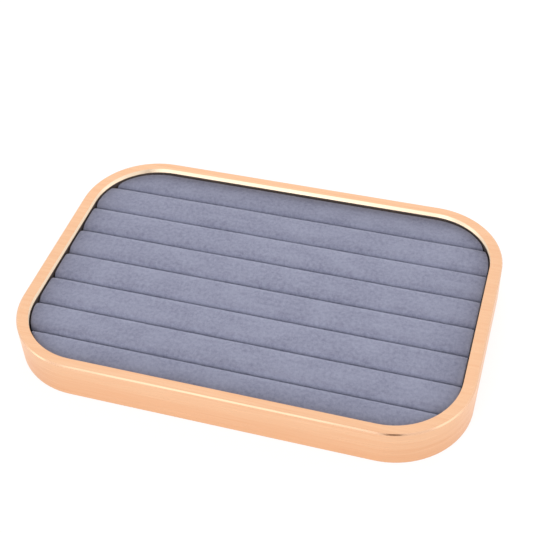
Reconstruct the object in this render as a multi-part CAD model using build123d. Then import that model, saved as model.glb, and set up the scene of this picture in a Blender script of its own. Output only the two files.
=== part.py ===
from build123d import *
import os

# Ring display tray, in millimetres. The rolls lie along X, Y runs from the front to the back,
# and the origin is the middle of the felt's underside, on the table.

# The metal frame, seen from above
tray_length = 300.0
tray_width = 204.0
corner_radius = 51.4
long_rail_width = 6.8
short_rail_width = 8.1

# The metal frame, in section
tray_height = 27.5
plate_thickness = 1.5
wall_thickness = 1.2
outer_edge_chamfer = 0.8
inner_edge_chamfer = 0.3
foot_gap = 0.8
ledge_reach = 9.0

# The base, screwed up against the ledge, and the felt glued under it
board_thickness = 3.0
board_clearance = 0.4
felt_thickness = 1.2
felt_margin = 1.0

# The countersunk screws, set back from the ends of the straight sides
screw_setback = 12.0
screw_radius = 1.5
screw_head_radius = 2.8
screw_head_height = 1.4
screw_play = 0.05
screw_tip_gap = 0.2

# The insert that lifts out: a board with a row of padded rolls glued on it
insert_clearance = 0.8
insert_board_thickness = 2.0
roll_recess = 3.6
roll_pitch = 24.4
ring_slot = 0.4
shallowest_end_roll = 15.0
slot_shoulder = 4.2
wall_side_chamfer = 1.2
crown_radius = 100.0
belly_height = 9.0
foot_draw_in = 0.8
cloth_thickness = 0.8

# Heights in the stack, from the table up
board_bottom = felt_thickness
board_top = board_bottom + board_thickness
ledge_top = board_top + wall_thickness
insert_board_top = ledge_top + insert_board_thickness
roll_top = tray_height - roll_recess
plate_bottom = tray_height - plate_thickness

# The well that the frame leaves for the insert, and the width that the rolls share
well_length = tray_length - 2 * short_rail_width
well_width = tray_width - 2 * long_rail_width
well_radius = corner_radius - (long_rail_width + short_rail_width) / 2
half_insert_width = well_width / 2 - insert_clearance
slots_behind_middle = int((half_insert_width - shallowest_end_roll) // roll_pitch)

# How close two places are to count as one
tolerance = 0.01


def slab(length, width, radius, inset, bottom, top):
    """A rounded rectangle drawn in by inset on every side, filled from bottom to top."""
    outline = RectangleRounded(length - 2 * inset, width - 2 * inset, radius - inset)
    return extrude(Plane.XY.offset(bottom) * outline, top - bottom)


def tray_slab(inset, bottom, top):
    """A slab on the outline of the whole tray."""
    return slab(tray_length, tray_width, corner_radius, inset, bottom, top)


def well_slab(inset, bottom, top):
    """A slab on the outline of the well inside the frame."""
    return slab(well_length, well_width, well_radius, inset, bottom, top)


def rim_plate():
    """The flat ring on top, with its outer edge chamfered and its inner edge eased."""
    disc = tray_slab(0, plate_bottom, tray_height)
    disc = chamfer(disc.faces().sort_by(Axis.Z)[-1].edges(), outer_edge_chamfer)
    ring = disc - well_slab(0, plate_bottom, tray_height)
    return chamfer(ring.faces().sort_by(Axis.Z)[-1].inner_wires()[0].edges(), inner_edge_chamfer)


def outer_wall():
    """The upright strip round the outside, welded under the plate."""
    outside = tray_slab(0, foot_gap, plate_bottom)
    return outside - tray_slab(wall_thickness, foot_gap, plate_bottom)


def inner_wall():
    """The strip round the well, turned inward at its foot into the ledge that the insert rests on."""
    strip = well_slab(-wall_thickness, board_top, plate_bottom)
    strip -= well_slab(0, ledge_top, plate_bottom)
    strip -= well_slab(ledge_reach, board_top, ledge_top)
    for spot in screw_spots():
        strip -= spot * screw_bore(board_top, ledge_top)
    return strip


def screw_spots():
    """Where the screws go: along the middle of the ledge, three on each long side."""
    reach = tray_length / 2 - corner_radius - screw_setback
    ledge_middle = (well_width - ledge_reach) / 2
    return [Pos(x, y, 0) for y in (-ledge_middle, ledge_middle) for x in (-reach, 0, reach)]


def screw_bore(bottom, top):
    """A round bar from bottom to top, wider than the screw by its play."""
    return extrude(Plane.XY.offset(bottom) * Circle(screw_radius + screw_play), top - bottom)


def countersink(play):
    """The cone of a screw head, flush with the underside of the board, wider all round by play."""
    foot = Plane.XY.offset(board_bottom) * Circle(screw_head_radius + play)
    neck = Plane.XY.offset(board_bottom + screw_head_height) * Circle(screw_radius + play)
    return loft([foot, neck])


def base_board():
    """The board that closes the tray, up against the ledge, drilled and countersunk from below."""
    board = tray_slab(wall_thickness + board_clearance, board_bottom, board_top)
    for spot in screw_spots():
        board -= spot * screw_bore(board_bottom, board_top)
        board -= spot * countersink(screw_play)
    return board


def board_screws():
    """The screws that hold the board to the ledge, as one group."""
    shank = Plane.XY.offset(board_bottom) * Circle(screw_radius)
    screw = extrude(shank, ledge_top - screw_tip_gap - board_bottom) + countersink(0)
    return Compound([spot * screw for spot in screw_spots()])


def base_felt():
    """The felt under the board, which the tray stands on."""
    return tray_slab(wall_thickness + felt_margin, 0, felt_thickness)


def insert_board():
    """The board of the insert, resting on the ledge."""
    return well_slab(insert_clearance, ledge_top, insert_board_top)


def roll_sides(place, inset):
    """Front and back of a roll behind the middle of the tray, counted from 0."""
    front = place * roll_pitch + ring_slot / 2
    back = front + roll_pitch - ring_slot
    if place == slots_behind_middle:
        back = half_insert_width
    return front + inset, back - inset


def roll_block(front, back, last):
    """A bar along X as wide as the roll, drawn in at its foot along each ring slot."""
    belly = insert_board_top + belly_height
    corners = [(front + foot_draw_in, insert_board_top), (front, belly), (front, roll_top)]
    if last:
        past_wall = back + slot_shoulder
        corners += [(past_wall, roll_top), (past_wall, insert_board_top)]
    else:
        corners += [(back, roll_top), (back, belly), (back - foot_draw_in, insert_board_top)]
    return extrude(Plane.YZ * make_face(Polyline(*corners, close=True)), tray_length / 2, both=True)


def padded_roll(place, inset):
    """The roll's outside drawn in by inset: crowned, with round shoulders along its ring slots."""
    front, back = roll_sides(place, inset)
    last = place == slots_behind_middle
    slot_faces = [front] if last else [front, back]
    crown = Cylinder(crown_radius - inset, tray_length, rotation=(0, 90, 0))
    body = roll_block(front, back, last) & Pos(0, (front + back) / 2, roll_top - crown_radius) * crown
    shoulders = [e for e in body.edges().filter_by(Axis.X) if lies_at(e, slot_faces)]
    shoulders = [e for e in shoulders if e.center().Z > insert_board_top + belly_height + tolerance]
    body = fillet(shoulders, slot_shoulder - inset)
    body &= well_slab(insert_clearance + inset, insert_board_top, roll_top)
    return chamfer(wall_side_edges(body, slot_faces), wall_side_chamfer)


def lies_at(shape, places):
    """True where the middle of a face or an edge lies at one of the places along Y."""
    return any(abs(shape.center().Y - y) < tolerance for y in places)


def wall_side_edges(body, slot_faces):
    """The edges of a roll's upright faces along the frame, without those at its foot."""
    upright = [f for f in body.faces() if abs(f.normal_at(f.center()).Z) < tolerance]
    wall_faces = [f for f in upright if not lies_at(f, slot_faces)]
    foot = insert_board_top + tolerance
    edges = [e for f in wall_faces for e in f.edges() if e.center().Z > foot]
    return [e for e in edges if sum(same_place(e, other) for other in edges) == 1]


def same_place(first, second):
    """True for one edge met twice, where two faces share it."""
    return (first.center() - second.center()).length < tolerance


def row_of_rolls(make):
    """Rolls from the front of the tray to its back, each made behind the middle or mirrored."""
    behind = [make(place) for place in range(slots_behind_middle + 1)]
    before = [mirror(roll, about=Plane.XZ) for roll in reversed(behind)]
    return before + behind


def foam_core(place):
    """The foam inside one roll."""
    return padded_roll(place, cloth_thickness)


def roll_cover(place):
    """The cloth over one roll's foam, open underneath, where it is glued to the board."""
    return padded_roll(place, 0) - foam_core(place)


def numbered(name, shapes):
    """Node names for a row of pieces, numbered from the front of the tray."""
    return {f"{name}_{number}": shape for number, shape in enumerate(shapes, start=1)}


nodes = {
    "rim_plate": rim_plate(),
    "outer_wall": outer_wall(),
    "inner_wall": inner_wall(),
    "base_board": base_board(),
    "board_screws": board_screws(),
    "base_felt": base_felt(),
    "insert_board": insert_board(),
    **numbered("foam_core", row_of_rolls(foam_core)),
    **numbered("roll_cover", row_of_rolls(roll_cover)),
}

os.makedirs("parts", exist_ok=True)
for name, shape in nodes.items():
    export_step(shape, f"parts/{name}.step")
    print(name, round(shape.volume), "cubic millimetres")
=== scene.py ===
import math

import bmesh
import bpy
from mathutils import Matrix, Vector, noise


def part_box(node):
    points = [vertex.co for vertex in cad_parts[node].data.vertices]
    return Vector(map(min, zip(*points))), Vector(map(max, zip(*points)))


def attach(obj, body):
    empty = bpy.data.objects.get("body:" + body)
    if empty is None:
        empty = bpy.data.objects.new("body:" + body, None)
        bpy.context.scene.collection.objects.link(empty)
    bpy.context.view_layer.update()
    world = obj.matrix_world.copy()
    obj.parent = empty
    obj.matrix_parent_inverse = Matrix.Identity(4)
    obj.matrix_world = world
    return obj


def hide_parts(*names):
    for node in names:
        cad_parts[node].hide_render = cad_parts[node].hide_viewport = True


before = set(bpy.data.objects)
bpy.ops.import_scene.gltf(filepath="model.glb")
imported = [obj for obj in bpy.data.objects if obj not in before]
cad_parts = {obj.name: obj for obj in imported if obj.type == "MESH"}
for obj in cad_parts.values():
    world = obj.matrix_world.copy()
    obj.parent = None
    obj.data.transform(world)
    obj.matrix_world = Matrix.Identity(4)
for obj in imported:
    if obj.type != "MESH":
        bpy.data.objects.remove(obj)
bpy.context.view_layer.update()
scene = bpy.context.scene
mm = 0.001
nearly = 0.02  # mm, how close two places are to count as one


def highestCorner(node):
    return [round(place / mm, 2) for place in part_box(node)[1]]


# The tray's main sizes in mm. Heights and half sizes come from the frame.
tray = {
    "height": highestCorner("rim_plate")[2],
    "insertHalf": highestCorner("insert_board")[:2],
    "insertBoardTop": highestCorner("insert_board")[2],
    "insertRadius": 43.15,  # the insert's rounded corners
    "insertGap": 0.8,  # between the insert and the wall of the well
}
print("frame loaded:", len(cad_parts), "nodes")


# Shader helpers: a socket that takes Python arithmetic, and a node tree that hands them out.

class Signal:
    def __init__(self, tree, socket):
        self.tree = tree
        self.socket = socket

    def maths(self, operation, *others, clamp=False):
        settings = {"operation": operation, "use_clamp": clamp}
        return self.tree.node("ShaderNodeMath", settings, dict(enumerate([self, *others])))

    def __add__(self, other):
        return self.maths("ADD", other)

    def __sub__(self, other):
        return self.maths("SUBTRACT", other)

    def __mul__(self, other):
        return self.maths("MULTIPLY", other)

    def __rsub__(self, other):
        return self.tree.node("ShaderNodeMath", {"operation": "SUBTRACT"}, {0: other, 1: self})

    __radd__ = __add__
    __rmul__ = __mul__

    def highest(self, other):
        return self.maths("MAXIMUM", other)

    def clamped(self):
        return self.maths("ADD", 0.0, clamp=True)


class NodeTree:
    def __init__(self, owner):
        owner.use_nodes = True
        self.tree = owner.node_tree
        self.tree.nodes.clear()

    def node(self, kind, settings=None, inputs=None, output=0):
        made = self.tree.nodes.new(kind)
        for key, value in (settings or {}).items():
            if key == "stops":  # a colour ramp's stops, as place and grey level
                for stop, (place, level) in zip(made.color_ramp.elements, value):
                    stop.position = place
                    stop.color = (level, level, level, 1)
            else:
                setattr(made, key, value)
        for key, value in (inputs or {}).items():
            if isinstance(value, Signal):
                self.tree.links.new(value.socket, made.inputs[key])
            else:
                made.inputs[key].default_value = value
        return Signal(self, made.outputs[output]) if made.outputs else None

    def blend(self, factor, first, second):
        inputs = {0: factor, 6: first, 7: second}  # a Mix node's sockets for colours
        return self.node("ShaderNodeMix", {"data_type": "RGBA"}, inputs, output=2)

    def place(self, stretch=(1, 1, 1)):
        spot = self.node("ShaderNodeTexCoord", output="Object")
        return self.node("ShaderNodeMapping", {}, {"Vector": spot, "Scale": stretch})

    def along(self, axis, place):
        return self.node("ShaderNodeSeparateXYZ", {}, {"Vector": place}, output=axis)

    def grain(self, place, scale=1.0, detail=2.0, roughness=0.5):
        inputs = {"Vector": place, "Scale": scale, "Detail": detail, "Roughness": roughness}
        return self.node("ShaderNodeTexNoise", {}, inputs)

    def contrast(self, signal, low, high):
        # black up to low, white from high
        return self.node("ShaderNodeValToRGB", {"stops": [(low, 0), (high, 1)]}, {"Fac": signal})

    def bump(self, height, strength, depth):
        inputs = {"Height": height, "Strength": strength, "Distance": depth * mm}
        return self.node("ShaderNodeBump", {}, inputs)

    def principled(self, inputs):
        shader = self.node("ShaderNodeBsdfPrincipled", {}, inputs)
        self.node("ShaderNodeOutputMaterial", {}, {"Surface": shader})


def newMaterial(name):
    material = bpy.data.materials.new(name)
    return material, NodeTree(material)


# In the materials a grain's scale is its number of specks to a metre, and depths are in mm.

# Rose metal, brushed along the wall outside and from end to end on the top plate.
roseMetal = {
    "colour": (1.0, 0.645, 0.408, 1),
    "deepColour": (0.905, 0.490, 0.278, 1),
    "footShadeColour": (0.80, 0.395, 0.20, 1),  # painted shade towards the foot of the wall, where the metal mirrors the shaded floor
    "footShadeTone": 0.55,
    "roughness": 0.32,
    "roughnessSwing": 0.12,
    "streak": 0.35,  # mm across one hairline
    "streakRun": 30.0,  # mm along it
    "streakDepth": 0.012,
    "streakTone": 0.70,  # how far the hairlines deepen the colour
    "bandWidth": 6,  # hairlines in one broader band
    "cloudScale": 14.0,
    "cloudTone": 0.15,
    "spread": 0.75,  # how far the brushing spreads a reflection
    "spreadTurn": 0.25,  # a quarter turn, so that it spreads across the lines
}


def brushedRose(name, fine):
    # fine names the axes that cross the hairlines
    material, tree = newMaterial(name)
    across = 1000 / roseMetal["streak"]
    along = 1000 / roseMetal["streakRun"]
    stretch = [across if axis in fine else along for axis in "xyz"]
    broad = [scale / roseMetal["bandWidth"] for scale in stretch]
    hairlines = tree.grain(tree.place(stretch), detail=3.0, roughness=0.6)
    bands = tree.grain(tree.place(broad))
    streaks = hairlines * 0.6 + bands * 0.4
    mask = tree.contrast(streaks, 0.35, 0.65)
    clouds = tree.grain(tree.place(), roseMetal["cloudScale"])
    height = tree.along("Z", tree.place((1, 1, 1000 / tray["height"])))  # 1 at the rim
    deep = (mask * roseMetal["streakTone"] + clouds * roseMetal["cloudTone"]).clamped()
    tone = tree.blend(deep, roseMetal["colour"], roseMetal["deepColour"])
    # painted shade: the wall deepens towards its foot, in place of the shaded floor it mirrors there
    low = ((1 - height) * roseMetal["footShadeTone"]).clamped()
    tree.principled({
        "Base Color": tree.blend(low, tone, roseMetal["footShadeColour"]),
        "Metallic": 1.0,
        "Roughness": roseMetal["roughness"] + (mask - 0.5) * roseMetal["roughnessSwing"],
        "Normal": tree.bump(streaks, 0.35, roseMetal["streakDepth"]),
        "Anisotropic": roseMetal["spread"],
        "Anisotropic Rotation": roseMetal["spreadTurn"],
    })
    return material


# The chamfer is burnished, so it catches the light as a bright line.
burnished = {
    "colour": (0.92, 0.60, 0.41, 1),
    "dullColour": (0.84, 0.51, 0.33, 1),
    "roughness": 0.22,
    "roughnessSwing": 0.12,
    "nicks": (60, 60, 900),
}


def burnishedEdge():
    material, tree = newMaterial("burnishedRoseEdge")
    nicks = tree.grain(tree.place(burnished["nicks"]), detail=3.0, roughness=0.55)
    tree.principled({
        "Base Color": tree.blend(nicks, burnished["colour"], burnished["dullColour"]),
        "Metallic": 1.0,
        "Roughness": burnished["roughness"] + (nicks - 0.5) * burnished["roughnessSwing"],
    })
    return material


# The wall inside the well is the rose metal in a satin finish, drawn along its length, with its colour
# painted paler as a highlight from the light in front.
satinWallHighlight = {
    # painted highlight: these colours are paler than the rose metal
    "colour": (0.99, 0.82, 0.63, 1),
    "deepColour": (0.975, 0.74, 0.52, 1),
    "roughness": 0.34,
    "roughnessSwing": 0.15,
    "drawLines": (25, 25, 2600),
    "lineDepth": 0.01,
    "patchScale": 30.0,
    "spread": 0.6,
    "spreadTurn": 0.25,
}


def satinHighlightInside():
    material, tree = newMaterial("satinInnerWallHighlight")
    drawLines = tree.grain(tree.place(satinWallHighlight["drawLines"]), detail=3.0, roughness=0.6)
    patches = tree.grain(tree.place(), satinWallHighlight["patchScale"])
    mask = (drawLines * 0.7 + patches * 0.3).clamped()
    tree.principled({
        "Base Color": tree.blend(mask, satinWallHighlight["colour"], satinWallHighlight["deepColour"]),
        "Metallic": 1.0,
        "Roughness": satinWallHighlight["roughness"] + (drawLines - 0.5) * satinWallHighlight["roughnessSwing"],
        "Normal": tree.bump(drawLines, 0.25, satinWallHighlight["lineDepth"]),
        "Anisotropic": satinWallHighlight["spread"],
        "Anisotropic Rotation": satinWallHighlight["spreadTurn"],
    })
    return material


# Below the pale band the well is painted dark, a painted shade for the shadowed gap between the wall and
# the rolls.
shadedWellCoat = {
    "colour": (0.072, 0.056, 0.052, 1),
    "paleShadeColour": (0.135, 0.098, 0.082, 1),
    "roughness": 0.65,
    "roughnessSwing": 0.2,
    "scuffs": (60, 60, 700),
    "speckScale": 500.0,
    "speckDepth": 0.02,
}


def paintedWellShade():
    material, tree = newMaterial("wellShadeCoat")
    scuffs = tree.grain(tree.place(shadedWellCoat["scuffs"]), detail=4.0, roughness=0.6)
    specks = tree.grain(tree.place(), shadedWellCoat["speckScale"])
    mask = tree.contrast(scuffs * 0.7 + specks * 0.3, 0.42, 0.75)
    tree.principled({
        "Base Color": tree.blend(mask, shadedWellCoat["colour"], shadedWellCoat["paleShadeColour"]),
        "Roughness": shadedWellCoat["roughness"] + (specks - 0.5) * shadedWellCoat["roughnessSwing"],
        "Normal": tree.bump(specks, 0.3, shadedWellCoat["speckDepth"]),
    })
    return material


# Grey blue microfibre with a short suede nap.
microfibre = {
    "colour": (0.318, 0.328, 0.436, 1),
    "shadeColour": (0.222, 0.228, 0.318, 1),
    "liftColour": (0.376, 0.388, 0.505, 1),
    "roughness": 0.92,
    "roughnessSwing": 0.12,
    "sheen": 0.30,
    "sheenRoughness": 0.45,
    "sheenTint": (0.80, 0.83, 1.0, 1),
    "napDepth": 0.10,
    "fibreScale": 1700.0,
    "mottleScale": 420.0,
    "strokeScale": 75.0,  # where a hand has brushed the nap
    "strokeStretch": (0.55, 1, 1),
    "wallShadeColour": (0.05, 0.05, 0.08, 1),
    "wallShade": 0.32,  # how much of this painted shade comes in right beside the frame
}


def suedeNap():
    material, tree = newMaterial("greyBlueMicrofibre")
    place = tree.place()
    strokes = tree.grain(tree.place(microfibre["strokeStretch"]), microfibre["strokeScale"], 3.0, 0.55)
    mottle = tree.grain(place, microfibre["mottleScale"], detail=3.0, roughness=0.65)
    fibres = tree.grain(place, microfibre["fibreScale"], roughness=0.7)
    shade = tree.contrast(mottle * 0.62 + fibres * 0.38, 0.36, 0.64)
    lift = tree.contrast(strokes, 0.40, 0.62)
    ground = tree.blend(shade, microfibre["shadeColour"], microfibre["colour"])
    lifted = tree.blend((shade * 0.35 + lift * 0.30).clamped(), ground, microfibre["liftColour"])
    # painted shade: the cloth is darkened beside the frame, where the wall shades it
    nearWall = tree.node("ShaderNodeAttribute", {"attribute_name": "nearWall"}, output="Fac")
    paintedWallShade = (nearWall * microfibre["wallShade"]).clamped()
    tree.principled({
        "Base Color": tree.blend(paintedWallShade, lifted, microfibre["wallShadeColour"]),
        "Roughness": microfibre["roughness"] + (fibres - 0.5) * microfibre["roughnessSwing"],
        "Normal": tree.bump(mottle * 0.5 + fibres * 0.5, 0.55, microfibre["napDepth"]),
        "Sheen Weight": microfibre["sheen"],
        "Sheen Roughness": microfibre["sheenRoughness"],
        "Sheen Tint": microfibre["sheenTint"],
        "Specular IOR Level": 0.2,
    })
    return material


# What shows underneath and inside: felt, board and screws.

feltFinish = {
    "colour": (0.060, 0.062, 0.070, 1),
    "fleck": (0.120, 0.122, 0.135, 1),
    "roughness": 0.95,
    "roughnessSwing": 0.08,
    "tangleScale": 900.0,
    "tangleDepth": 0.25,
    "clumpScale": 160.0,
    "sheen": 0.3,
}


def pressedFelt():
    material, tree = newMaterial("charcoalFelt")
    place = tree.place()
    tangle = tree.grain(place, feltFinish["tangleScale"], detail=4.0, roughness=0.7)
    clumps = tree.grain(place, feltFinish["clumpScale"])
    mask = tree.contrast(tangle * 0.7 + clumps * 0.3, 0.38, 0.68)
    tree.principled({
        "Base Color": tree.blend(mask, feltFinish["colour"], feltFinish["fleck"]),
        "Roughness": feltFinish["roughness"] + (clumps - 0.5) * feltFinish["roughnessSwing"],
        "Normal": tree.bump(tangle, 0.8, feltFinish["tangleDepth"]),
        "Sheen Weight": feltFinish["sheen"],
        "Specular IOR Level": 0.15,
    })
    return material


boardFinish = {
    "colour": (0.30, 0.19, 0.115, 1),
    "fleck": (0.44, 0.31, 0.20, 1),
    "roughness": 0.70,
    "roughnessSwing": 0.20,
    "chipScale": 700.0,
    "chipStretch": (1, 1, 2.5),
    "chipDepth": 0.08,
    "cloudScale": 45.0,
}


def fibreboard():
    material, tree = newMaterial("brownFibreboard")
    chips = tree.grain(tree.place(boardFinish["chipStretch"]), boardFinish["chipScale"], 4.0, 0.65)
    cloud = tree.grain(tree.place(), boardFinish["cloudScale"])
    mask = tree.contrast(chips * 0.75 + cloud * 0.25, 0.35, 0.70)
    tree.principled({
        "Base Color": tree.blend(mask, boardFinish["colour"], boardFinish["fleck"]),
        "Roughness": boardFinish["roughness"] + (chips - 0.5) * boardFinish["roughnessSwing"],
        "Normal": tree.bump(chips, 0.4, boardFinish["chipDepth"]),
    })
    return material


zincFinish = {
    "colour": (0.74, 0.75, 0.76, 1),
    "dullColour": (0.55, 0.56, 0.58, 1),
    "roughness": 0.32,
    "roughnessSwing": 0.25,
    "bloomScale": 900.0,
}


def zincPlate():
    material, tree = newMaterial("zincScrews")
    bloom = tree.grain(tree.place(), zincFinish["bloomScale"], detail=3.0, roughness=0.6)
    tree.principled({
        "Base Color": tree.blend(bloom, zincFinish["colour"], zincFinish["dullColour"]),
        "Metallic": 1.0,
        "Roughness": zincFinish["roughness"] + (bloom - 0.5) * zincFinish["roughnessSwing"],
    })
    return material


rosePlate = brushedRose("brushedRosePlate", "y")
roseWall = brushedRose("brushedRoseWall", "z")
roseEdge = burnishedEdge()
innerSatinHighlight = satinHighlightInside()
wellShadePaint = paintedWellShade()
suede = suedeNap()
felt = pressedFelt()
board = fibreboard()
zinc = zincPlate()
print("materials made")


# The metal frame: copies of the solids with smooth corners.

metalFrame = {
    "mergeDistance": 0.002,  # mm
    "flatAngle": 0.5,  # degrees within which the solid's triangles are joined
    "sharpAngle": 25,  # degrees from which an edge is drawn sharp
    "flatRise": 0.95,  # the least rise of a level face's normal
    "slopeRise": 0.3,  # and of a chamfer's
    "innerEase": 0.3,  # mm, the eased inner edge of the plate
    "bandFoot": 24.15,  # mm above the table, below it the well is painted in shade
    "bandLean": (42, 36),  # degrees the pale band leans back to the light, at its top and foot
}


def between(ends, share):
    return ends[0] + (ends[1] - ends[0]) * share


def meshFromNode(node):
    bm = bmesh.new()
    bm.from_mesh(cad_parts[node].data)
    bmesh.ops.remove_doubles(bm, verts=bm.verts, dist=metalFrame["mergeDistance"] * mm)
    flatAngle = math.radians(metalFrame["flatAngle"])
    bmesh.ops.dissolve_limit(bm, angle_limit=flatAngle, verts=bm.verts, edges=bm.edges)
    return bm


def makePiece(bm, name, body, materials, replaced):
    mesh = bpy.data.meshes.new(name)
    bm.to_mesh(mesh)
    bm.free()
    for material in materials:
        mesh.materials.append(material)
    piece = bpy.data.objects.new(name, mesh)
    scene.collection.objects.link(piece)
    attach(piece, body)
    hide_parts(*replaced)
    return piece


def metalPiece(bm, node, name, materials, pick):
    bm.normal_update()
    for face in bm.faces:
        face.smooth = True
        face.material_index = pick(face)
    sharpAngle = math.radians(metalFrame["sharpAngle"])
    for edge in bm.edges:
        edge.smooth = len(edge.link_faces) == 2 and edge.calc_face_angle() < sharpAngle
    return makePiece(bm, name, "tray", materials, [node])


def facesWell(normal, spot):
    return normal.xy.dot(spot.xy) < 0


def leanBand(piece):
    # the band round the well is rolled over softly, so its shading leans back to the light above
    radius = tray["insertRadius"] + tray["insertGap"]
    straight = [half + tray["insertGap"] - radius for half in tray["insertHalf"]]
    mesh = piece.data
    normals = [Vector((0, 0, 0))] * len(mesh.loops)
    for face in mesh.polygons:
        upright = abs(face.normal.z) < metalFrame["slopeRise"]
        if not upright or not facesWell(face.normal, face.center):
            continue
        if mesh.materials[face.material_index] != innerSatinHighlight:
            continue
        for loop in face.loop_indices:
            spot = mesh.vertices[mesh.loops[loop].vertex_index].co / mm
            past = [max(abs(spot[axis]) - straight[axis], 0) for axis in (0, 1)]
            inward = Vector((-math.copysign(past[0], spot.x), -math.copysign(past[1], spot.y), 0))
            down = (tray["height"] - spot.z) / (tray["height"] - metalFrame["bandFoot"])
            rise = math.tan(math.radians(between(metalFrame["bandLean"], down)))
            normals[loop] = (inward.normalized() + Vector((0, 0, rise))).normalized()
    mesh.normals_split_custom_set(normals)


def rimPlate():
    bm = meshFromNode("rim_plate")
    innerEdge = tray["height"] - metalFrame["innerEase"]
    for vert in bm.verts:
        if abs(vert.co.z / mm - innerEdge) < nearly:
            vert.co.z = tray["height"] * mm  # the eased edge shows no line of light, so it is sharp

    def pick(face):
        # top and underside, chamfer, the edge towards the well, and the edge above the outer wall
        if abs(face.normal.z) > metalFrame["flatRise"]:
            return 0
        if face.normal.z > metalFrame["slopeRise"]:
            return 1
        return 2 if facesWell(face.normal, face.calc_center_median()) else 3

    materials = [rosePlate, roseEdge, innerSatinHighlight, roseWall]
    leanBand(metalPiece(bm, "rim_plate", "rimPlate", materials, pick))


def innerWall():
    bm = meshFromNode("inner_wall")
    bandFoot = metalFrame["bandFoot"] * mm
    geometry = [*bm.verts, *bm.edges, *bm.faces]
    bmesh.ops.bisect_plane(bm, geom=geometry, plane_co=(0, 0, bandFoot), plane_no=(0, 0, 1))

    # faces below the band foot take the painted shade
    def pick(face):
        return 0 if face.calc_center_median().z > bandFoot else 1

    leanBand(metalPiece(bm, "inner_wall", "innerWall", [innerSatinHighlight, wellShadePaint], pick))


rimPlate()
metalPiece(meshFromNode("outer_wall"), "outer_wall", "outerWall", [roseWall], lambda face: 0)
innerWall()

# these nodes keep their own shape
keptNodes = {"base_board": board, "board_screws": zinc, "base_felt": felt, "insert_board": board}
for node, material in keptNodes.items():
    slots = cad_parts[node].data.materials
    for place in range(len(slots)):
        slots[place] = material
print("metal frame, boards and felt made")


# The padded rolls: foam bars wrapped in microfibre, crowned, with round shoulders at the slots.

rolls = {
    "count": 8,
    "recess": 3.6,  # mm from the rim down to the rolls' tops
    "crownRadius": 100.0,
    "frontShoulder": 4.2,  # along a slot, facing the front of the tray
    "backShoulder": 5.2,  # facing its back
    "wallShoulder": (0.9, 1.0),  # along the frame's short sides, and along its long ones
    "wallSlope": (0.4, 0.5),  # how far the rolls sink towards them
    "slopeRun": 10.0,  # over this distance from the frame
    "belly": 9.0,  # above the board, below it the sides draw in
    "footDrawIn": 0.8,
    "sideReach": 0.3,  # a place this near to a slot's side draws in with it
    "sideRows": (0.72, 0.69, 0.50, 0.32, 0),  # each row's height down the sides, as a share of the last
    "cornerTurn": 60,  # degrees round the corner, to where an end roll's long side begins
    "waver": 0.10,  # mm that a roll's top wanders to the front and back
    "waverScale": 0.018,
    "puff": 0.16,  # mm that it rises and falls
    "puffScale": (0.035, 0.05),
    "seeds": (7.3, 3.1),  # from one roll to the next, for the waver and the puff
    "waverFrom": 17.0,  # mm above the table, where waver and puff begin
    "waverRise": 7.0,  # mm over which they grow
    "shadeRun": 14.0,  # how far from the wall the cloth's painted shade reaches
}

# How a roll's top is divided into faces: rows, and places and steps in mm.
rollMesh = {
    "wallRows": 6,  # round the shoulder along the frame
    "slotRows": 8,  # round a shoulder along a slot
    "pastShort": (1.6, 2.6, 3.8, 5.2, 7.0, 9.2, 12.0),  # past the shoulder at a short side
    "pastLong": (1.8, 2.8, 4.2, 6.0),  # and at a long side
    "stepAlong": 3.2,
    "stepAcross": 1.9,
}

rollTop = tray["height"] - rolls["recess"]
rollFoot = tray["insertBoardTop"]
halfLength, halfWidth = tray["insertHalf"]
cornerRadius = tray["insertRadius"]
straightX, straightY = halfLength - cornerRadius, halfWidth - cornerRadius  # the corners begin here


def rollSides(number):
    # a roll's inner and outer side in mm from the middle of the tray, and whether it lies in front of it
    low, high = (round(corner.y / mm, 2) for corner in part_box(f"roll_cover_{number}"))
    inner, outer = sorted((abs(low), abs(high)))
    return inner, outer, low < 0


def outlineHalfLength(y):
    past = max(abs(y) - straightY, 0)
    return straightX + math.sqrt(max(cornerRadius ** 2 - past ** 2, 0))


def wallGap(x, y):
    # how far a point lies inside the insert's outline, and its turn from the short side, 0, to the long, 1
    pastX, pastY = abs(x) - straightX, abs(y) - straightY
    outward = math.hypot(max(pastX, 0), max(pastY, 0))
    gap = cornerRadius - outward - min(max(pastX, pastY), 0)
    facing = max(pastY, 0) / max(outward, 0.001)
    return max(gap, 0), facing ** 3


def shoulderDrop(gap, radius):
    if gap >= radius:
        return 0
    return radius - math.sqrt(max(radius ** 2 - (radius - gap) ** 2, 0))


def arcSteps(radius, count, beyond=()):
    return [radius * (1 - math.cos(math.pi / 2 * i / count)) for i in range(count + 1)] + [*beyond]


def spread(length, startSteps, endSteps, middleStep):
    # shares of a length, close together at its two ends
    low = startSteps
    high = [length - step for step in reversed(endSteps)]
    count = max(int((high[0] - low[-1]) / middleStep), 1)
    middle = [low[-1] + (high[0] - low[-1]) * i / count for i in range(1, count)]
    return [place / length for place in low + middle + high]


def cornerPoint(angle):
    # on the insert's rounded corner, by the angle from its short side
    x = straightX + cornerRadius * math.cos(angle)
    y = straightY + cornerRadius * math.sin(angle)
    return Vector((x, y))


def longSide(share, turn):
    # along the insert's long side and round both its corners, down to the angle turn
    arc = cornerRadius * (math.pi / 2 - turn)
    along = (straightX + arc) * (2 * share - 1)
    if abs(along) <= straightX:
        return Vector((along, halfWidth))
    point = cornerPoint(math.pi / 2 - (abs(along) - straightX) / cornerRadius)
    return Vector((math.copysign(point.x, along), point.y))


def onLeft(point):
    return Vector((-point.x, point.y))


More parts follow.
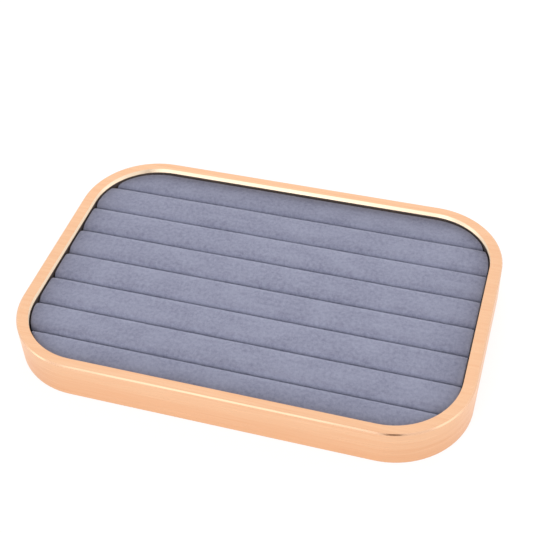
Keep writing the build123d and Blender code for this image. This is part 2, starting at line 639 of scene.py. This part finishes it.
def planPoint(u, v, inner, outer, last):
    # a roll seen from above, u from its left end to its right and v from its inner side to its outer
    if not last:
        y = inner + (outer - inner) * v
        return outlineHalfLength(y) * (2 * u - 1), y
    # the plan of an end roll is spread evenly between its four edges
    turn = math.radians(rolls["cornerTurn"])
    start = math.asin((inner - straightY) / cornerRadius)
    nearRight, farRight = cornerPoint(start), cornerPoint(turn)
    near = Vector((nearRight.x * (2 * u - 1), inner))
    far = longSide(u, turn)
    right = cornerPoint(start + (turn - start) * v)
    nearEnds = onLeft(nearRight) * (1 - u) + nearRight * u
    farEnds = onLeft(farRight) * (1 - u) + farRight * u
    corners = nearEnds * (1 - v) + farEnds * v
    point = near * (1 - v) + far * v + onLeft(right) * (1 - u) + right * u - corners
    return point.x, point.y


def rollHeight(x, y, inner, outer, last, shoulders):
    crown = rolls["crownRadius"]
    height = rollTop - (crown - math.sqrt(crown ** 2 - (y - (inner + outer) / 2) ** 2))
    height -= shoulderDrop(y - inner, shoulders[0])
    if not last:
        height -= shoulderDrop(outer - y, shoulders[1])
    gap, turn = wallGap(x, y)
    height -= shoulderDrop(gap, between(rolls["wallShoulder"], turn))
    ease = max(1 - gap / rolls["slopeRun"], 0)
    return height - between(rolls["wallSlope"], turn) * ease ** 2


def rollTopGrid(inner, outer, last, shoulders):
    endSteps = arcSteps(rolls["wallShoulder"][0], rollMesh["wallRows"], rollMesh["pastShort"])
    length = 2 * outlineHalfLength(inner)
    alongPlaces = spread(length, endSteps, endSteps, rollMesh["stepAlong"])
    innerSteps, outerSteps = (arcSteps(radius, rollMesh["slotRows"]) for radius in shoulders)
    if last:
        outerSteps = arcSteps(rolls["wallShoulder"][1], rollMesh["wallRows"], rollMesh["pastLong"])
    acrossPlaces = spread(outer - inner, innerSteps, outerSteps, rollMesh["stepAcross"])
    columns, rows = len(alongPlaces) - 1, len(acrossPlaces) - 1

    bm = bmesh.new()
    made = bmesh.ops.create_grid(bm, x_segments=columns, y_segments=rows, size=1)
    reach = max(vert.co.x for vert in made["verts"])
    for vert in made["verts"]:
        u = alongPlaces[round((vert.co.x / reach + 1) / 2 * columns)]
        v = acrossPlaces[round((vert.co.y / reach + 1) / 2 * rows)]
        x, y = planPoint(u, v, inner, outer, last)
        vert.co = Vector((x, y, rollHeight(x, y, inner, outer, last, shoulders)))
    return bm


def dropSides(bm):
    rim = [edge for edge in bm.edges if edge.is_boundary]
    for share in rolls["sideRows"]:
        below = bmesh.ops.extrude_edge_only(bm, edges=rim)["geom"]
        rim = [item for item in below if isinstance(item, bmesh.types.BMEdge) and item.is_boundary]
        for vert in (item for item in below if isinstance(item, bmesh.types.BMVert)):
            vert.co.z = rollFoot + (vert.co.z - rollFoot) * share
    bmesh.ops.holes_fill(bm, edges=rim, sides=0)


def settleCloth(bm, number, inner, outer, last, flip):
    # draws the sides in at the foot, lets slots waver and tops puff, and puts the roll in its place
    middle = (inner + outer) / 2
    nearWall = bm.verts.layers.float.new("nearWall")
    alongScale, acrossScale = rolls["puffScale"]
    waverSeed, puffSeed = rolls["seeds"]
    for vert in bm.verts:
        x, y, z = vert.co
        # the weight of the painted shade beside the frame
        vert[nearWall] = math.exp(-wallGap(x, y)[0] / rolls["shadeRun"])
        depth = max(rollFoot + rolls["belly"] - z, 0) / rolls["belly"]
        toSlot = abs(y - inner) if last else min(abs(y - inner), abs(outer - y))
        if toSlot < rolls["sideReach"]:
            y += math.copysign(rolls["footDrawIn"] * depth, middle - y)
        lean = noise.noise(Vector((x * rolls["waverScale"], number * waverSeed, 0))) * rolls["waver"]
        puff = noise.noise(Vector((x * alongScale, y * acrossScale, number * puffSeed))) * rolls["puff"]
        above = max(z - rolls["waverFrom"], 0) / rolls["waverRise"]
        vert.co = Vector((x, (-y if flip else y) + lean * above, z + puff * above)) * mm


def steadyOrder(bm):
    # extruding leaves the mesh in any order, so it is put in the order of its places
    def middle(item):
        corners = [item] if isinstance(item, bmesh.types.BMVert) else item.verts
        return sum((vert.co for vert in corners), Vector())[:]

    for items in (bm.verts, bm.edges, bm.faces):
        ranks = {item: rank for rank, item in enumerate(sorted(items, key=middle))}
        items.sort(key=ranks.get)


def paddedRoll(number):
    inner, outer, flip = rollSides(number)
    last = number in (1, rolls["count"])
    shoulders = [rolls["frontShoulder"], rolls["backShoulder"]]
    if flip:
        shoulders.reverse()
    bm = rollTopGrid(inner, outer, last, shoulders)
    dropSides(bm)
    settleCloth(bm, number, inner, outer, last, flip)
    steadyOrder(bm)

    bmesh.ops.recalc_face_normals(bm, faces=bm.faces)
    for face in bm.faces:
        face.smooth = True
    for edge in bm.edges:
        edge.smooth = max(vert.co.z for vert in edge.verts) > (rollFoot + nearly) * mm
    replaced = [f"roll_cover_{number}", f"foam_core_{number}"]
    piece = makePiece(bm, f"paddedRoll{number}", "insert", [suede], replaced)


for number in range(1, rolls["count"] + 1):
    paddedRoll(number)
print("padded rolls made")


# Floor, light and camera.

studio = {
    "fillLight": 0.33,  # what the object's own surfaces get from all round
    "floor": (0.90, 0.90, 0.90, 1),
    "floorHalf": 4,  # metres
    "floorGlow": 0.72,  # how much of the floor's look is plain white
    "floorWhite": 1.12,
    "glowInMetal": 0.95,
    "whiteRise": 1.6,  # with the start, the floor turns all white from 0.43 m to 0.90 m out
    "whiteStart": 0.3,
    "card": (19, 37, 1.3, 0.33, 0.50),  # azimuth, elevation, distance, width and height
    "cardTone": (0.16, 0.10, 0.06, 1),
}


def seenDirectly(tree, inMetal=1.0):
    # 1 for what the camera sees, and inMetal for what shows in a reflection
    camera = tree.node("ShaderNodeLightPath", output="Is Camera Ray")
    glossy = tree.node("ShaderNodeLightPath", output="Is Glossy Ray")
    through = tree.node("ShaderNodeLightPath", output="Is Transmission Ray")
    return camera.highest(through).highest(glossy * inMetal)


def direction(azimuth, elevation):
    # outwards from the middle of the tray: azimuth 0 is straight in front, 90 is to the right
    turn, rise = math.radians(azimuth), math.radians(elevation)
    level = math.cos(rise)
    return Vector((math.sin(turn) * level, -math.cos(turn) * level, math.sin(rise)))


def stageObject(bm, name, material):
    mesh = bpy.data.meshes.new(name)
    bm.to_mesh(mesh)
    bm.free()
    mesh.materials.append(material)
    made = bpy.data.objects.new(name, mesh)
    scene.collection.objects.link(made)
    return made


def whiteRoom():
    world = bpy.data.worlds.new("whiteRoom")
    scene.world = world
    tree = NodeTree(world)
    white = (1, 1, 1, 1)
    fill = {"Color": white, "Strength": studio["fillLight"]}
    seen = {"Color": white, "Strength": 1.0}
    mixed = tree.node("ShaderNodeMixShader", {}, {
        0: seenDirectly(tree),
        1: tree.node("ShaderNodeBackground", {}, fill),
        2: tree.node("ShaderNodeBackground", {}, seen),
    })
    tree.node("ShaderNodeOutputWorld", {}, {"Surface": mixed})


def paleFloor():
    material, tree = newMaterial("paleFloor")
    matt = tree.node("ShaderNodeBsdfDiffuse", {}, {"Color": studio["floor"]})
    white = {"Color": (1, 1, 1, 1), "Strength": studio["floorWhite"]}
    glow = tree.node("ShaderNodeEmission", {}, white)
    x, y = (tree.along(axis, tree.place()) for axis in "XY")
    away = ((x * x + y * y) * studio["whiteRise"] - studio["whiteStart"]).clamped()
    share = away * (1 - studio["floorGlow"]) + studio["floorGlow"]
    factor = seenDirectly(tree, studio["glowInMetal"]) * share
    mixed = tree.node("ShaderNodeMixShader", {}, {0: factor, 1: matt, 2: glow})
    tree.node("ShaderNodeOutputMaterial", {}, {"Surface": mixed})
    bm = bmesh.new()
    bmesh.ops.create_grid(bm, x_segments=1, y_segments=1, size=studio["floorHalf"])
    stageObject(bm, "floor", material)


def darkCard():
    # a dim card in front that only the metal mirrors, at the near right corner of the chamfer
    azimuth, elevation, distance, width, height = studio["card"]
    material, tree = newMaterial("darkCard")
    glow = tree.node("ShaderNodeEmission", {}, {"Color": studio["cardTone"], "Strength": 1.0})
    tree.node("ShaderNodeOutputMaterial", {}, {"Surface": glow})
    away = direction(azimuth, elevation)
    turned = away.to_track_quat("Z", "Y").to_matrix().to_4x4()
    stand = Matrix.Translation(away * distance) @ turned @ Matrix.Diagonal((width, height, 1, 1))
    bm = bmesh.new()
    bmesh.ops.create_grid(bm, x_segments=1, y_segments=1, size=0.5, matrix=stand)
    card = stageObject(bm, "darkCard", material)
    card.visible_camera = False
    card.visible_diffuse = False
    card.visible_shadow = False


lamps = {
    # azimuth, elevation, distance, width, height, radiance, and whether the metal mirrors it
    "frontStrip": (-17, 40, 1.4, 0.58, 1.30, 0.50, True),
    "frontFill": (5, 42, 1.5, 1.60, 1.20, 1.50, False),
    "lowFront": (-16, 10, 1.4, 1.60, 0.40, 1.0, True),
    "rightBox": (92, 26, 1.4, 1.30, 0.40, 0.45, True),
    "rightFill": (84, 28, 1.5, 1.40, 0.60, 0.45, False),
    "leftBox": (-68, 24, 1.4, 0.80, 0.40, 0.60, True),
    "leftFill": (-75, 24, 1.5, 1.00, 0.50, 0.70, False),
    "backBox": (176, 22, 1.4, 1.80, 0.70, 3.0, False),
    "farGlow": (-165, 16, 1.5, 1.60, 0.50, 0.5, True),
}


def softLamp(name, azimuth, elevation, distance, width, height, radiance, mirrored):
    away = direction(azimuth, elevation)
    lamp = bpy.data.lights.new(name, "AREA")
    lamp.shape = "RECTANGLE"
    lamp.size = width
    lamp.size_y = height
    lamp.energy = radiance * 4 * width * height  # watts
    holder = bpy.data.objects.new(name, lamp)
    holder.location = away * distance
    holder.rotation_mode = "QUATERNION"
    holder.rotation_quaternion = away.to_track_quat("Z", "Y")
    holder.visible_glossy = mirrored
    scene.collection.objects.link(holder)


# The photograph's own view: angles in degrees, places in metres.
view = {
    "azimuth": 18.773,
    "elevation": 44.207,
    "roll": -2.970,
    "distance": 0.794011,
    "target": (-0.010845, 0.041371, 0),
    "lens": 76.028,  # mm
    "sensor": 36,  # mm
}


def photoCamera():
    roll = math.radians(view["roll"])
    back = direction(view["azimuth"], view["elevation"])
    right = (-back).cross(Vector((0, 0, 1))).normalized()
    up = right.cross(-back)
    rolledRight = right * math.cos(roll) + up * math.sin(roll)
    rolledUp = up * math.cos(roll) - right * math.sin(roll)
    lens = bpy.data.cameras.new("photoCamera")
    lens.sensor_width = view["sensor"]
    lens.lens = view["lens"]
    lens.clip_start = 0.01
    camera = bpy.data.objects.new("photoCamera", lens)
    turned = Matrix((rolledRight, rolledUp, back)).transposed().to_4x4()
    stand = Vector(view["target"]) + back * view["distance"]
    camera.matrix_world = Matrix.Translation(stand) @ turned
    scene.collection.objects.link(camera)
    scene.camera = camera


whiteRoom()
paleFloor()
darkCard()
for name, values in lamps.items():
    softLamp(name, *values)
photoCamera()
scene.view_settings.view_transform = "Standard"
print("floor, light and camera made")
